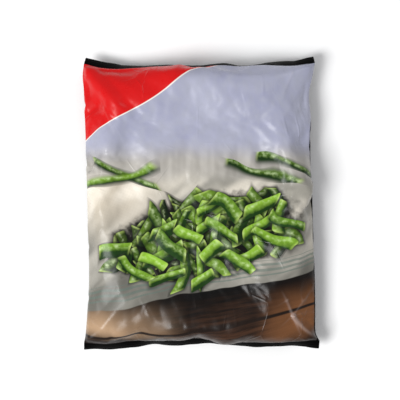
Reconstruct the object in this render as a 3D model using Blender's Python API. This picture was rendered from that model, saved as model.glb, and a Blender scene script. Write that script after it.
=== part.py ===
"""A filled pillow pack of sliced green beans, lying on its back.

The film pack is one web: a front and a back panel, rounded side folds, an end seal at the
head and at the foot, and a lap seal down the back. Needle vents let its air out. Inside,
the frozen slices lie as one mass, clear of the film.

Metres, +Z up. The back panel's flat underside lies on z = 0, the front panel looks up, and
+Y runs from the foot of the pack to its head. The origin is under the middle of the pack.
"""

import math
import random

import bmesh
import bpy
from mathutils import Matrix, Vector

# The filled pack
PACK_LENGTH = 0.293  # over both end seals, at the corners
HEAD_WIDTH = 0.232  # across the head seal
FOOT_WIDTH = 0.238  # across the foot seal
FILL_HEIGHT = 0.046  # table to the front panel, at the middle
SIDE_DRAW = 0.0060  # how far each side is drawn in at mid length
HEAD_BOW = 0.0085  # how far the head seal bows in at mid width
FOOT_BOW = 0.0060
SEAL_DEPTH = 0.010  # the sealed strip at each end
SEAL_HEIGHT = 0.024  # of the end seals' roots above the table
SEAL_DROP = 0.004  # how far a seal's cut edge hangs below its root
FOLD_HEIGHT = 0.022  # of the side folds above the table, at mid length
BELLY_PRESS = 0.005  # how far the table pushes the round belly flat

# The shape of the cross-sections: 2 is an ellipse, more is boxier
SECTION_POWER = 2.6
LENGTH_POWER = 5.0

# The film, thicker here than the real 0.07 mm so that it stays a sound solid
FILM = 0.0009
SEAL_THICKNESS = 0.0012
CAVITY_EDGE = 0.00045  # the cavity's height where it runs out at the seals
LAP_WIDTH = 0.012
LAP_CREASE = 0.0003  # width and depth of the line at each edge of the lap
VENT_RADIUS = 0.0008
VENT_COUNT = 6
VENT_PITCH = 0.016
VENT_ROW = 0.090  # the vents' place towards the head
VENT_REACH = 0.0011  # how far a vent's needle comes up past the underside

# The slices
SLICE_LENGTH = (0.044, 0.064)
SLICE_WIDTH = (0.0110, 0.0140)
SLICE_THICKNESS = 0.0062
SLICE_BOW = 0.0045  # the most that a slice curves to one side
SLICE_BURIAL = 0.0026  # how deep the slices' backs are sunk in the mass
SLICE_STEPS = 0.0022  # the slices' faces lie at different depths, up to this much
SLICE_CLEARANCE = 0.0015  # between the slices and the film
SLICE_COLUMNS = 7
SLICE_ROWS = 8
RIM_SHARE = 0.95  # how close a slice may come to the side folds and the end seals
END_SLANT = 0.6  # the most that a slice's cut ends slant, across to along
SLICE_SEED = 11

# Mesh fineness
SHARP_ANGLE = math.radians(40)  # edges that turn more than this stay crisp
FILM_POINTS = 48
FILM_RINGS = 28
CAVITY_POINTS = 40
CAVITY_RINGS = 24
CORE_POINTS = 24
CORE_RINGS = 12
VENT_SIDES = 8


def clear_scene():
    for thing in list(bpy.data.objects):
        bpy.data.objects.remove(thing, do_unlink=True)


def material(name, colour, roughness):
    made = bpy.data.materials.new(name)
    made.use_nodes = True
    shader = made.node_tree.nodes["Principled BSDF"]
    shader.inputs["Base Color"].default_value = (*colour, 1.0)
    shader.inputs["Roughness"].default_value = roughness
    shader.inputs["Metallic"].default_value = 0.0
    return made


def mesh_object(name, vertices, faces, finish=None):
    mesh = bpy.data.meshes.new(name)
    mesh.from_pydata(vertices, [], faces)
    mesh.update()
    if finish:
        mesh.materials.append(finish)
    made = bpy.data.objects.new(name, mesh)
    bpy.context.scene.collection.objects.link(made)
    return made


def signed_power(value, power):
    return math.copysign(abs(value) ** power, value)


def half_width(along):
    """Half the pack's width, where along is -1 at the foot seal and 1 at the head seal."""
    straight = (HEAD_WIDTH + FOOT_WIDTH + along * (HEAD_WIDTH - FOOT_WIDTH)) / 4
    return straight - SIDE_DRAW * (1 - along**2)


def fold_height(along):
    return FOLD_HEIGHT + (SEAL_HEIGHT - FOLD_HEIGHT) * along**4


def end_bow(across, along):
    """How far the seals' bow draws a point towards the middle, along Y."""
    depth = HEAD_BOW if along > 0 else FOOT_BOW
    return math.copysign(depth * along**4 * (1 - across**2), along)


def filled_length(inset):
    return PACK_LENGTH / 2 - SEAL_DEPTH - inset


def rise(share, power):
    """A superellipse's height, 1 at share 0 and 0 at share 1."""
    return max(0.0, 1 - abs(share) ** power) ** (1 / power)


def filled_ring(along, inset, points, least):
    """One ring of the filled body, inset from the film's outside, least thick or more."""
    width = half_width(along) - inset
    fold = fold_height(along)
    swell = rise(along, LENGTH_POWER)
    up = max((FILL_HEIGHT - inset - fold) * swell, least)
    down = max((fold - inset + BELLY_PRESS) * swell, least)
    ring = []
    for step in range(points):
        angle = math.tau * step / points
        across = signed_power(math.cos(angle), 2 / SECTION_POWER)
        lift = signed_power(math.sin(angle), 2 / SECTION_POWER)
        height = fold + lift * (up if lift > 0 else down)
        y = along * filled_length(inset) - end_bow(across, along)
        ring.append((across * width, y, max(height, inset)))
    return ring


def seal_ring(end, share, points):
    """One ring of a sealed strip: end is -1 or 1, and share runs from its root to its edge."""
    ring = []
    for x, y, z in filled_ring(end, 0.0, points, SEAL_THICKNESS / 2):
        ring.append((x, y + end * share * SEAL_DEPTH, z - share * SEAL_DROP))
    return ring


def along_shares(rings):
    """Places along the filled body, closer together where it falls to the seals."""
    shares = []
    for step in range(rings + 1):
        shares.append(signed_power(-math.cos(math.pi * step / rings), 2 / LENGTH_POWER))
    return shares


def loft(name, rings, finish=None):
    """A closed tube through the rings, each end closed by a strip from its top to its foot."""
    count = len(rings[0])
    vertices = [point for ring in rings for point in ring]
    faces = []
    for start in range(0, len(vertices) - count, count):
        for step in range(count):
            after = (step + 1) % count
            faces.append((start + step, start + count + step, start + count + after, start + after))
    last = len(vertices) - count
    for step in range(count // 2):
        upper = (step, step + 1)
        lower = (count - step - 1, (count - step) % count)
        strip = list(dict.fromkeys((*upper, *lower)))
        faces.append(strip)
        faces.append([last + corner for corner in reversed(strip)])
    return mesh_object(name, vertices, faces, finish)


def shade_round(target):
    target.data.shade_smooth()
    target.data.set_sharp_from_angle(angle=SHARP_ANGLE)


def cut(target, cutter):
    """Take the cutter's shape away from the target, and keep the cutter as a hidden guide."""
    cutter.hide_render = True
    cutter.display_type = "WIRE"
    step = target.modifiers.new(cutter.name, "BOOLEAN")
    step.operation = "DIFFERENCE"
    step.object = cutter


def make_film_bag():
    finish = material("printed_film", (0.42, 0.43, 0.38), 0.3)
    least = SEAL_THICKNESS / 2
    rings = [seal_ring(-1, share, FILM_POINTS) for share in (1.0, 0.5)]
    rings += [filled_ring(along, 0.0, FILM_POINTS, least) for along in along_shares(FILM_RINGS)]
    rings += [seal_ring(1, share, FILM_POINTS) for share in (0.5, 1.0)]
    bag = loft("film_bag", rings, finish)
    shade_round(bag)

    hollow = []
    for along in along_shares(CAVITY_RINGS):
        hollow.append(filled_ring(along, FILM, CAVITY_POINTS, CAVITY_EDGE / 2))
    cut(bag, loft("cavity_cutter", hollow))
    for side in (-1, 1):
        cut(bag, lap_crease(side))
    for number in range(VENT_COUNT):
        cut(bag, vent(number))


def lap_crease(side):
    """The line that one edge of the lap seal leaves along the flat underside."""
    place = side * LAP_WIDTH / 2
    rings = []
    for end in (-PACK_LENGTH / 2, PACK_LENGTH / 2):
        top = [(place + LAP_CREASE / 2, end, LAP_CREASE), (place - LAP_CREASE / 2, end, LAP_CREASE)]
        rings.append(top + [(x, y, -FILM) for x, y, _ in reversed(top)])
    return loft(f"lap_crease_cutter_{'left' if side < 0 else 'right'}", rings)


def vent(number):
    """A needle vent through the back panel."""
    place = (number - (VENT_COUNT - 1) / 2) * VENT_PITCH
    rings = []
    for height in (VENT_REACH, -FILM):
        ring = []
        for step in range(VENT_SIDES):
            angle = math.tau * step / VENT_SIDES
            x = place + VENT_RADIUS * math.cos(angle)
            ring.append((x, VENT_ROW + VENT_RADIUS * math.sin(angle), height))
        rings.append(ring)
    return loft(f"vent_cutter_{number}", rings)


def fill_shares(x, y):
    """The shares of the half width and of the half length at which a point lies."""
    along = y / filled_length(0.0)
    for _ in range(4):
        across = x / half_width(along)
        along = (y + end_bow(across, along)) / filled_length(0.0)
    return across, along


def fill_height(across, along, inset, upward):
    """The height of the fill's front or back, inset from the film's outside."""
    fold = fold_height(along)
    reach = rise(along, LENGTH_POWER) * rise(across, SECTION_POWER)
    if upward:
        return fold + (FILL_HEIGHT - inset - fold) * reach
    return max(fold - (fold - inset + BELLY_PRESS) * reach, inset)


def slice_outline(dice):
    """A slice as corners seen from above with a depth: six-sided, curved, with slanting ends."""
    length = dice.uniform(*SLICE_LENGTH)
    width = dice.uniform(*SLICE_WIDTH)
    bow = dice.uniform(-SLICE_BOW, SLICE_BOW)
    slant = dice.uniform(-END_SLANT, END_SLANT)
    corners = []
    for share in (-1.0, 0.0, 1.0):
        for corner in range(6):
            angle = math.tau * corner / 6
            sideways = width / 2 * math.cos(angle)
            forward = share * length / 2 + slant * sideways * abs(share)
            lift = math.sin(angle) / math.sin(math.tau / 6)
            curved = sideways + bow * (share**2 - 0.5)
            corners.append(Vector((forward, curved, lift * SLICE_THICKNESS / 2)))
    return corners


def make_slice(name, dice, across, along, upward):
    """A slice laid against the front or the back panel, bent along it and clear of its rim."""
    inset = FILM + SLICE_CLEARANCE + dice.uniform(0.0, SLICE_STEPS)
    turn = Matrix.Rotation(dice.uniform(0.0, math.pi), 3, "Z")
    outline = [turn @ corner for corner in slice_outline(dice)]
    while True:
        x = across * half_width(along)
        y = along * filled_length(0.0) - end_bow(across, along)
        shares = [fill_shares(x + corner.x, y + corner.y) for corner in outline]
        reach = max(abs(share) for pair in shares for share in pair)
        if reach <= RIM_SHARE:
            break
        across *= RIM_SHARE
        along *= RIM_SHARE
    side = 1 if upward else -1
    vertices = []
    for corner, (corner_across, corner_along) in zip(outline, shares):
        panel = fill_height(corner_across, corner_along, inset, upward)
        vertices.append((x + corner.x, y + corner.y, panel - side * SLICE_THICKNESS / 2 + corner.z))
    faces = [(5, 4, 3, 2, 1, 0), (12, 13, 14, 15, 16, 17)]
    for start in (0, 6):
        for corner in range(6):
            after = (corner + 1) % 6
            faces.append((start + corner, start + after, start + 6 + after, start + 6 + corner))
    return mesh_object(name, vertices, faces)


def make_bean_slices():
    finish = material("green_beans", (0.16, 0.33, 0.07), 0.5)
    dice = random.Random(SLICE_SEED)
    sunk = FILM + SLICE_CLEARANCE + SLICE_THICKNESS - SLICE_BURIAL
    rings = []
    for along in along_shares(CORE_RINGS):
        rings.append(filled_ring(along, sunk, CORE_POINTS, SLICE_THICKNESS / 2))
    mass = loft("bean_slices", rings, finish)
    heap = bpy.data.collections.new("slices")
    bpy.context.scene.collection.children.link(heap)
    for upward in (True, False):
        for column in range(SLICE_COLUMNS):
            for row in range(SLICE_ROWS):
                across = 2 * (column + dice.random()) / SLICE_COLUMNS - 1
                along = 2 * (row + dice.random()) / SLICE_ROWS - 1
                piece = make_slice(f"slice_{column}_{row}", dice, across, along, upward)
                bpy.context.scene.collection.objects.unlink(piece)
                heap.objects.link(piece)
    join = mass.modifiers.new("join_slices", "BOOLEAN")
    join.operation = "UNION"
    join.solver = "MANIFOLD"
    join.operand_type = "COLLECTION"
    join.collection = heap
    apply_modifiers(mass)
    keep_main_body(mass)
    shade_round(mass)
    for piece in list(heap.objects):
        bpy.data.objects.remove(piece, do_unlink=True)
    bpy.data.collections.remove(heap)


def apply_modifiers(target):
    graph = bpy.context.evaluated_depsgraph_get()
    baked = bpy.data.meshes.new_from_object(target.evaluated_get(graph))
    target.modifiers.clear()
    target.data = baked


def keep_main_body(target):
    """Fill the small hollows that the joined slices close off, and drop loose scraps."""
    shape = bmesh.new()
    shape.from_mesh(target.data)
    bodies = []
    seen = set()
    for first in shape.faces:
        if first in seen:
            continue
        body = {first}
        reached = [first]
        while reached:
            for edge in reached.pop().edges:
                for face in edge.link_faces:
                    if face not in body:
                        body.add(face)
                        reached.append(face)
        seen |= body
        bodies.append(body)
    bodies.sort(key=len)
    for body in bodies[:-1]:
        bmesh.ops.delete(shape, geom=list(body), context="FACES")
    shape.to_mesh(target.data)
    shape.free()


def main():
    clear_scene()
    make_film_bag()
    make_bean_slices()


main()
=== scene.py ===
# %% [markdown]
# # A pillow pack of frozen sliced beans
#
# The real object is one web of printed plastic film, folded to a tube, sealed down its back and
# across both ends, with about a kilogram of frozen bean slices in it. It lies on its back.
# The solids are loaded first. They give the size and the place of everything below.

# %% Load the solids
import math
from functools import partial

import bpy
import numpy as np
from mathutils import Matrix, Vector, noise


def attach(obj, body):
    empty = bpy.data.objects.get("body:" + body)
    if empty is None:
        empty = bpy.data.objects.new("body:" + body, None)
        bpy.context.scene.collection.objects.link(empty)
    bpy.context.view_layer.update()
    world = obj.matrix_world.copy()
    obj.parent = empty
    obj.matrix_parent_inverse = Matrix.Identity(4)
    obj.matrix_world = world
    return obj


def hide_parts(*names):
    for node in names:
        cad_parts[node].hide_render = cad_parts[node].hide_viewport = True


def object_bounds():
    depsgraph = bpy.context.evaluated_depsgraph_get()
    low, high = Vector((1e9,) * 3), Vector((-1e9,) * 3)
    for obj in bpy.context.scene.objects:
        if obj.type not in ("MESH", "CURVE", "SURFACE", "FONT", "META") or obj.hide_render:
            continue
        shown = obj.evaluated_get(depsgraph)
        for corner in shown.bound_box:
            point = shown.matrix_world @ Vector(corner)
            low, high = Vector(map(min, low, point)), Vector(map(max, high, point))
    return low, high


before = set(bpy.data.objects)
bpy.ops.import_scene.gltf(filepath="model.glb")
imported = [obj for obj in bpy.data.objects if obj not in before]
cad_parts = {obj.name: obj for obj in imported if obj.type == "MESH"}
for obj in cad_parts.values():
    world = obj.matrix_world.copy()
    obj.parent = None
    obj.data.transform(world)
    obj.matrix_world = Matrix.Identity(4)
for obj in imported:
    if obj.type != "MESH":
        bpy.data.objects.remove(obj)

solid_low, solid_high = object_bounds()
MM = 0.001
print("solids, in mm:", [round(high - low, 1) for low, high in zip(solid_low / MM, solid_high / MM)])

# %% [markdown]
# ## Two helpers for finishes
#
# Blender's sockets take linear light, while colours are picked as sRGB hex values, so one
# function turns one into the other. A second one adds any node with its settings and its links.
# Four kinds have one setting that says what the node does. It follows the kind after a dot, as in
# "Math.MULTIPLY".

# %% Colours and nodes
def linear(hex_value, alpha=1.0):
    """An sRGB colour such as "DB1A1C" as linear red, green, blue and alpha."""
    parts = [int(hex_value[start:start + 2], 16) / 255 for start in (0, 2, 4)]
    return (*[p / 12.92 if p <= 0.04045 else ((p + 0.055) / 1.055) ** 2.4 for p in parts], alpha)


MODES = {
    "Math": "operation", "VectorMath": "operation",
    "Mix": "data_type", "MapRange": "interpolation_type",
}


def add(tree, kind, *inputs, **settings):
    """Add a node. Inputs are values, nodes or sockets in order; a setting may name a socket."""
    kind, _, mode = kind.partition(".")
    made = tree.nodes.new("ShaderNode" + kind)
    if mode:
        setattr(made, MODES[kind], mode)
    named = {name.replace("_", " "): settings[name] for name in settings if name[0].isupper()}
    for name, value in settings.items():
        if name[0].islower():
            setattr(made, name, value)
    given = list(zip([socket for socket in made.inputs if socket.enabled], inputs))
    given += [(made.inputs[name], value) for name, value in named.items()]
    for socket, value in given:
        if isinstance(value, bpy.types.Node):
            value = next(output for output in value.outputs if output.enabled)
        if isinstance(value, bpy.types.NodeSocket):
            tree.links.new(value, socket)
        elif value is not None:
            socket.default_value = value
    return made


# %% [markdown]
# ## Table, light and camera
#
# The pack was photographed from straight above on a plain pale ground. A long lens keeps its
# edges parallel. One broad soft light at the upper left gives the film its long dull highlights,
# and a weaker one at the right opens the shadows.

# %% Table, light and camera
VIEW_WIDTH = 400 * MM  # what the picture's 400 pixels cover at the pack's height
LENS, SENSOR = 135.0, 36.0
CAMERA_HEIGHT = VIEW_WIDTH * LENS / SENSOR
PACK_MIDDLE = Vector((0.5 * MM, 3.0 * MM, 0.025))  # what the camera's middle looks at


def placed(name, data):
    made = bpy.data.objects.new(name, data)
    bpy.context.scene.collection.objects.link(made)
    return made


def soft_light(name, place, size, power, colour):
    lamp = bpy.data.lights.new(name, "AREA")
    lamp.size = size
    lamp.energy = power
    lamp.color = linear(colour)[:3]
    made = placed(name, lamp)
    made.location = place
    made.rotation_euler = (-Vector(place)).to_track_quat("-Z", "Y").to_euler()


camera = placed("camera", bpy.data.cameras.new("camera"))
camera.data.lens = LENS
camera.data.sensor_width = SENSOR
camera.location = PACK_MIDDLE + Vector((0.0, 0.0, CAMERA_HEIGHT))
bpy.context.scene.camera = camera

soft_light("window_light", (-0.85, -0.55, 1.45), 0.8, 28.0, "FFFFFF")
soft_light("fill_light", (0.9, 1.1, 1.1), 0.7, 4.0, "F6F8FF")
sky = bpy.data.worlds.new("studio")
sky.use_nodes = True
sky.node_tree.nodes["Background"].inputs["Color"].default_value = linear("FFFFFF")
sky.node_tree.nodes["Background"].inputs["Strength"].default_value = 0.42
bpy.context.scene.world = sky
bpy.context.scene.view_settings.view_transform = "Standard"

TABLE_HALF = 2.0
table_mesh = bpy.data.meshes.new("table")
table_mesh.from_pydata([(x, y, 0.0) for x, y in ((-1, -1), (1, -1), (1, 1), (-1, 1))], [], [(0, 1, 2, 3)])
table = placed("table", table_mesh)
table.scale = (TABLE_HALF, TABLE_HALF, 1.0)
table_finish = bpy.data.materials.new("matt_white_card")
table_finish.use_nodes = True
table_finish.node_tree.nodes["Principled BSDF"].inputs["Base Color"].default_value = linear("FCFCFC")
table_finish.node_tree.nodes["Principled BSDF"].inputs["Roughness"].default_value = 0.9
table_mesh.materials.append(table_finish)
print("camera", round(CAMERA_HEIGHT, 3), "m above the middle of the pack")

# %% [markdown]
# ## The flat tube
#
# Film is limp across a fold but doesn't stretch, and that is what gives a pack its look: the
# corners stick out, the sides and the seals draw in, and small folds run from the corners.
# Modelling those by hand looks wrong at once, so the pack is made as the packing machine makes
# it: a flat tube with its ends sealed, which is then filled. The front and back grids share
# their outer points, and each seal is one thin strip.

# %% The flat tube
WEB_WIDTH = 240.5 * MM
WEB_LENGTH = 302.5 * MM
SEAL_DEPTH = 10 * MM
COLUMNS, ROWS, SEAL_ROWS = 76, 92, 4
PLY_GAP = 2 * MM
START_HEIGHT = 20 * MM
TUBE_SEED = 3


def sheet_of(xs, ys, height):
    across, along = np.meshgrid(xs, ys)
    return np.stack([across, along, np.full_like(across, height)], axis=-1)


def quads(numbers):
    """The four corners of every cell in a grid of vertex numbers."""
    corners = [numbers[:-1, :-1], numbers[:-1, 1:], numbers[1:, 1:], numbers[1:, :-1]]
    return np.stack(corners, axis=-1).reshape(-1, 4)


def flat_tube():
    """The tube's points and faces, and the grids of numbers: front, back, foot and head strip."""
    half, root = WEB_LENGTH / 2, WEB_LENGTH / 2 - SEAL_DEPTH
    xs = np.linspace(-WEB_WIDTH / 2, WEB_WIDTH / 2, COLUMNS + 1)
    ys = np.linspace(-root, root, ROWS + 1)
    strip = np.linspace(root, half, SEAL_ROWS + 1)[1:]
    parts = [
        sheet_of(xs, ys, START_HEIGHT + PLY_GAP),
        sheet_of(xs, ys, START_HEIGHT - PLY_GAP),
        sheet_of(xs, -strip[::-1], START_HEIGHT),
        sheet_of(xs, strip, START_HEIGHT),
    ]
    grids, total = [], 0
    for part in parts:
        size = part.shape[0] * part.shape[1]
        grids.append(np.arange(total, total + size).reshape(part.shape[:2]))
        total += size
    front, back, foot, head = grids
    parts[0][[0, -1], :, 2] = START_HEIGHT
    parts[0][:, [0, -1], 2] = START_HEIGHT
    back[[0, -1], :] = front[[0, -1], :]
    back[:, [0, -1]] = front[:, [0, -1]]
    foot = np.concatenate([foot, front[:1]])
    head = np.concatenate([front[-1:], head])
    points = np.concatenate([part.reshape(-1, 3) for part in parts])
    points[:, 2] += np.random.default_rng(TUBE_SEED).normal(0.0, 0.1 * MM, total)
    faces = np.concatenate([quads(front), quads(back)[:, ::-1], quads(foot), quads(head)])
    used, compact = np.unique(faces), np.zeros(total, int)
    compact[used] = np.arange(len(used))
    return points[used], compact[faces], [compact[grid] for grid in (front, back, foot, head)]


tube_points, tube_faces, tube_grids = flat_tube()
print("flat tube:", len(tube_points), "points")

# %% [markdown]
# ## Filling the tube
#
# The Cloth modifier fills it. Pressure with a target volume stands in for the slices, a little
# fluid weight makes the belly heavy, and a lid keeps the pack as flat as a hand pats it. The
# result is read back as four grids of points, so no modifier is left on anything.

# %% Fill the tube
FILL_VOLUME = 0.0020  # cubic metres that the pressure aims at
FILL_WEIGHT = 0.2
LID_HEIGHT = 48.5 * MM
FRAMES = 50


def press_plate(name, height, faces, friction):
    plate_mesh = bpy.data.meshes.new(name)
    plate_mesh.from_pydata([(-1, -1, height), (1, -1, height), (1, 1, height), (-1, 1, height)], [], faces)
    plate = placed(name, plate_mesh)
    plate.modifiers.new("Collision", "COLLISION")
    plate.collision.thickness_outer = 1 * MM
    plate.collision.cloth_friction = friction
    return plate


def filled_tube():
    """Fill the flat tube with the Cloth modifier and return its four grids of points."""
    tube_mesh = bpy.data.meshes.new("tube")
    tube_mesh.from_pydata(tube_points.tolist(), [], tube_faces.tolist())
    tube = placed("tube", tube_mesh)
    inflated = sorted({int(number) for grid in tube_grids[:2] for number in grid.ravel()})
    tube.vertex_groups.new(name="filled").add(inflated, 1.0, "REPLACE")
    plates = [
        press_plate("rest", 0.0, [(0, 1, 2, 3)], 5.0),
        press_plate("lid", LID_HEIGHT, [(0, 3, 2, 1)], 2.0),
    ]
    cloth = tube.modifiers.new("Film", "CLOTH")
    film = cloth.settings
    film.quality = 7
    film.mass = 0.0003
    film.tension_stiffness = film.compression_stiffness = 60.0
    film.shear_stiffness = 20.0
    film.bending_stiffness = 0.2
    film.tension_damping = film.compression_damping = film.shear_damping = 5.0
    film.bending_damping = 0.5
    film.air_damping = 1.0
    film.effector_weights.gravity = 0.5
    film.use_pressure = True
    film.uniform_pressure_force = 0.0
    film.use_pressure_volume = True
    film.target_volume = FILL_VOLUME
    film.pressure_factor = 1.0
    film.fluid_density = FILL_WEIGHT
    film.vertex_group_pressure = "filled"
    cloth.collision_settings.collision_quality = 2
    cloth.collision_settings.distance_min = 1 * MM
    cloth.collision_settings.use_self_collision = False
    cloth.point_cache.frame_start, cloth.point_cache.frame_end = 1, FRAMES
    for step in range(1, FRAMES + 1):
        bpy.context.scene.frame_set(step)
    shape = tube.evaluated_get(bpy.context.evaluated_depsgraph_get()).to_mesh()
    points = np.empty(len(shape.vertices) * 3, np.float32)
    shape.vertices.foreach_get("co", points)
    points = points.reshape(-1, 3).astype(float)
    for helper in (tube, *plates):
        bpy.data.objects.remove(helper)
    bpy.context.scene.frame_set(1)
    return [points[grid] for grid in tube_grids]


filled = filled_tube()
print("filled pack, in mm:", (filled[0].max((0, 1)) - filled[1].min((0, 1))) / MM)

# %% [markdown]
# ## Fitting the filled pack to the solids
#
# The simulation settles a few millimetres off. The pack is set on the table, centred and scaled
# to the solids' width and length. The bow of both end seals and the line of both side folds are
# then set to what the real pack shows, by sliding the film near them. A small change in how the
# film buckles then changes a fold, but never the outline.

# %% Fit the pack
# At 11 even places from left to right: how far in mm the seal's visible edge lies inside the
# solids' end, and how many degrees the seal hangs below level
HEAD_EDGE = [-0.2, 5.8, 7.8, 7.9, 7.8, 7.5, 6.2, 8.0, 5.0, 3.7, -1.2]
HEAD_HANG = [32, 44, 54, 60, 62, 61, 60, 66, 60, 50, 36]
FOOT_EDGE = [-0.4, -0.9, 1.2, 3.9, 2.8, 5.2, 3.8, 2.6, 1.6, 3.0, 0.8]
FOOT_HANG = [34, 42, 36, 50, 44, 40, 52, 42, 38, 46, 30]
CURL = 14.0  # degrees that a seal bends on between its root and its cut edge
EDGE_REACH = 0.35  # the share of the half length over which the film follows its seal
FLARE = 5.5 * MM  # what the first fit leaves of the solids' width for the flared corner
film_size = solid_high - solid_low

front, back = filled[0], filled[1]
every = np.concatenate([front.reshape(-1, 3), back.reshape(-1, 3)])
low, high = every.min(0), every.max(0)
film_width = film_size.x - FLARE
root_length = film_size.y - 2 * SEAL_DEPTH * math.cos(math.radians(HEAD_HANG[0]))
stretch = np.array([film_width / (high[0] - low[0]), root_length / (high[1] - low[1]), 1.0])
origin = np.array([(low[0] + high[0]) / 2, (low[1] + high[1]) / 2, low[2]])
front, back = (front - origin) * stretch, (back - origin) * stretch

share_along = np.linspace(-1, 1, ROWS + 1)
share_across = np.linspace(-1, 1, COLUMNS + 1)


def along_knots(knots, shares):
    """A smooth line through even knots, at shares from -1 to 1 (a Catmull-Rom spline)."""
    line = np.array([2 * knots[0] - knots[1], *knots, 2 * knots[-1] - knots[-2]], float)
    place = (np.asarray(shares) + 1) / 2 * (len(knots) - 1)
    start = np.clip(place.astype(int), 0, len(knots) - 2)
    t = place - start
    a, b, c, d = (line[start + step] for step in range(4))
    return b + t * (c - a + t * (2 * a - 5 * b + 4 * c - d + t * (3 * (b - c) + d - a))) / 2


for end, edge, hang in ((-1, FOOT_EDGE, FOOT_HANG), (1, HEAD_EDGE, HEAD_HANG)):
    row = 0 if end < 0 else ROWS
    shown = SEAL_DEPTH * np.cos(np.radians(along_knots(hang, share_across) + CURL / 2))
    wanted = end * (film_size.y / 2 - along_knots(edge, share_across) * MM - shown)
    follow = np.clip((end * share_along - 1 + EDGE_REACH) / EDGE_REACH, 0, 1)
    follow = (follow**2 * (3 - 2 * follow))[:, None]
    slide = wanted - front[row, :, 1]
    front[..., 1] += follow * slide
    back[..., 1] += follow * slide

# The side folds: at 11 even places from foot to head, how far in mm each lies inside the solids'
LEFT_EDGE = [4.5, 6.8, 8.5, 8.5, 7.5, 7.0, 6.5, 5.5, 4.5, 3.5, 3.5]
RIGHT_EDGE = [3.5, 3.2, 3.5, 4.5, 5.5, 6.5, 7.5, 8.2, 7.5, 8.0, 3.5]
SIDE_REACH = 0.7  # the share of the half width over which the film follows its side fold
PUCKER_ROWS = 9  # a pucker shorter than this many rows is the film's own, and stays
kernel = np.hanning(PUCKER_ROWS + 2)[1:-1]
kernel /= kernel.sum()
for side, edge in ((-1, LEFT_EDGE), (1, RIGHT_EDGE)):
    column = 0 if side < 0 else COLUMNS
    line = np.pad(front[:, column, 0], PUCKER_ROWS // 2, mode="reflect", reflect_type="odd")
    wanted = side * (film_size.x / 2 - along_knots(edge, share_along) * MM)
    follow = np.clip((side * share_across - 1 + SIDE_REACH) / SIDE_REACH, 0, 1)
    slide = (wanted - np.convolve(line, kernel, "valid"))[:, None] * (follow**2 * (3 - 2 * follow))
    front[..., 0] += slide
    back[..., 0] += slide

# Short pulls on top: each row is a side, a place along the pack, a reach and a shift in mm
SIDE_PULLS = [(1, 108, 14, -1.5), (1, -142, 8, 6.2), (-1, 127, 10, 1.5), (-1, -142, 6, 1.2)]
for side, place, reach, shift in SIDE_PULLS:
    for grid in (front, back):
        beside = np.exp(-(((grid[..., 1] / MM - place) / reach) ** 2))
        outer = np.clip(side * share_across, 0, 1)[None] ** 5
        grid[..., 0] += side * shift * MM * beside * outer
print("fitted by", stretch.round(3), "and the roots lie", front[[0, -1], COLUMNS // 2, 1] / MM, "mm out")

# %% [markdown]
# ## A finer skin
#
# The simulation's cells are 3 mm wide, which would show as facets in a highlight. A cubic
# B-spline through the grid gives a skin with no kinks in its curvature. It needs no modifier, and
# the front and the back keep the same points along the side folds because the curve ends exactly
# on its last point.

# %% Refine the skin
FINE_COLUMNS, FINE_ROWS = 188, 228


def refined(grid, count, axis):
    """Resample a grid along one axis with a cubic B-spline that starts and ends on its ends."""
    grid = np.moveaxis(grid, axis, 0)
    place = np.linspace(0, len(grid) - 1, count + 1)
    start = np.minimum(place.astype(int), len(grid) - 2)
    t = (place - start)[:, None, None]
    padded = np.concatenate([2 * grid[:1] - grid[1:2], grid, 2 * grid[-1:] - grid[-2:-1]])
    weights = ((1 - t) ** 3, 3 * t**3 - 6 * t**2 + 4, 1 + 3 * t + 3 * t**2 - 3 * t**3, t**3)
    fine = sum(weight * padded[start + step] for step, weight in enumerate(weights)) / 6
    return np.moveaxis(fine, 0, axis)


def outward(grid, side):
    """Unit normals of a grid, pointing out of the pack. side is 1 at the front, -1 at the back."""
    normal = np.cross(np.gradient(grid, axis=1), np.gradient(grid, axis=0)) * side
    return normal / np.linalg.norm(normal, axis=2, keepdims=True)


front = refined(refined(front, FINE_COLUMNS, 1), FINE_ROWS, 0)
back = refined(refined(back, FINE_COLUMNS, 1), FINE_ROWS, 0)
root = WEB_LENGTH / 2 - SEAL_DEPTH
flat_across, flat_along = np.meshgrid(
    np.linspace(-WEB_WIDTH / 2, WEB_WIDTH / 2, FINE_COLUMNS + 1) / MM,
    np.linspace(-root, root, FINE_ROWS + 1) / MM,
)
cell = WEB_WIDTH / FINE_COLUMNS / MM, 2 * root / FINE_ROWS / MM
print("skin cells, in mm:", round(cell[0], 2), "by", round(cell[1], 2))

# %% [markdown]
# ## Where the slices press
#
# Frozen slices are hard, so each one that lies against the film lifts it into a low, long bump.
# The bumps and the slices themselves are drawn from one list, so what is under the film agrees
# with what shows in it. A slice is a place, a turn and a size on the flat film.

# %% Lay out the slices
SLICE_SEED = 23
SLICES_PER_FACE = 150
SLICE_SPREAD = (98, 118)  # mm from the middle
HALF_LENGTH, HALF_WIDTH = (18, 29), (4.6, 6.4)  # mm
BUMP_HEIGHT = (0.25, 0.75)  # mm
dice = np.random.default_rng(SLICE_SEED)


def scattered(count, half_width, half_length):
    """Places spread over a face: each is the best of a few random ones, far from the others."""
    places = []
    for _ in range(count):
        tries = dice.uniform((-half_width, -half_length), (half_width, half_length), (8, 2))
        if places:
            gaps = np.linalg.norm(tries[:, None] - np.array(places)[None], axis=2).min(1)
            places.append(tries[gaps.argmax()])
        else:
            places.append(tries[0])
    return places


def laid_slices():
    made = []
    for x, y in scattered(SLICES_PER_FACE, *SLICE_SPREAD):
        made.append({
            "place": (x, y),
            "turn": dice.uniform(0, math.pi),
            "half_length": dice.uniform(*HALF_LENGTH),
            "half_width": dice.uniform(*HALF_WIDTH),
            "bump": dice.uniform(*BUMP_HEIGHT),
        })
    return made


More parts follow.
